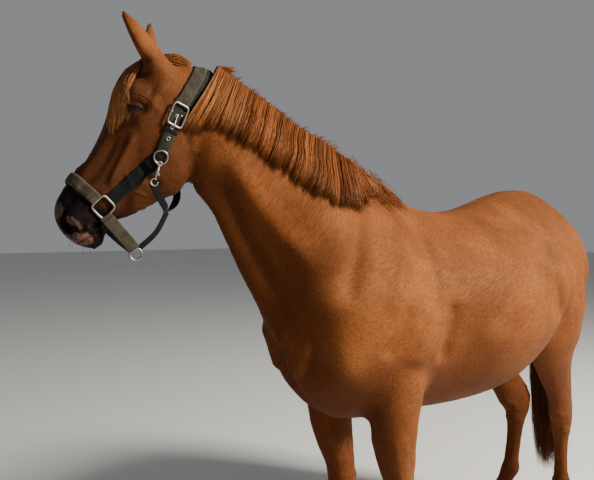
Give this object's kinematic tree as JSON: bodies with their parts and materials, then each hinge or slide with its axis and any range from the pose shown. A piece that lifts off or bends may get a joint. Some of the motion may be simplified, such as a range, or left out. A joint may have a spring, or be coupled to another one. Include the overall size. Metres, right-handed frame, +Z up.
{
  "type": "horse",
  "caption": "Life-size still model of a chestnut horse standing at rest, head turned to its right, wearing a webbing headcollar.",
  "frame": {"origin": "on the floor under the middle of the bounding box, level with the hooves' soles", "axes": "+Z up, +X towards the horse's left side, +Y towards its tail, so it faces -Y"},
  "size_m": [0.695, 2.3948, 2.0152],
  "materials": {
    "coat": "short chestnut hair with a low sheen, darker on the muzzle and the lower legs",
    "mane_hair": "long chestnut hair, lighter at the forelock",
    "tail_hair": "long dark chestnut hair, lighter at the ends",
    "eye": "clear wet gloss over dark brown",
    "horn": "brown hoof horn with growth rings",
    "webbing": "olive-grey woven nylon, worn",
    "metal": "dull plated steel"
  },
  "bodies": {
    "root": {"trunk": "coat", "neck": "coat", "head": "coat", "ear_left": "coat", "ear_right": "coat", "eye_left": "eye", "eye_right": "eye", "leg_fore_left": "coat", "leg_fore_right": "coat", "leg_hind_left": "coat", "leg_hind_right": "coat", "hoof_fore_left": "horn", "hoof_fore_right": "horn", "hoof_hind_left": "horn", "hoof_hind_right": "horn", "tail": "tail_hair", "mane": "mane_hair", "forelock": "mane_hair", "headcollar_crownpiece": "webbing", "headcollar_noseband": "webbing", "headcollar_cheekpiece_left": "webbing", "headcollar_cheekpiece_right": "webbing", "headcollar_ring_left": "metal", "headcollar_ring_right": "metal", "headcollar_buckle": "metal", "headcollar_chin_ring": "metal", "headcollar_chin_strap_left": "webbing", "headcollar_chin_strap_right": "webbing", "headcollar_link_strap": "webbing", "headcollar_throat_strap": "webbing"}
  },
  "joints": []
}
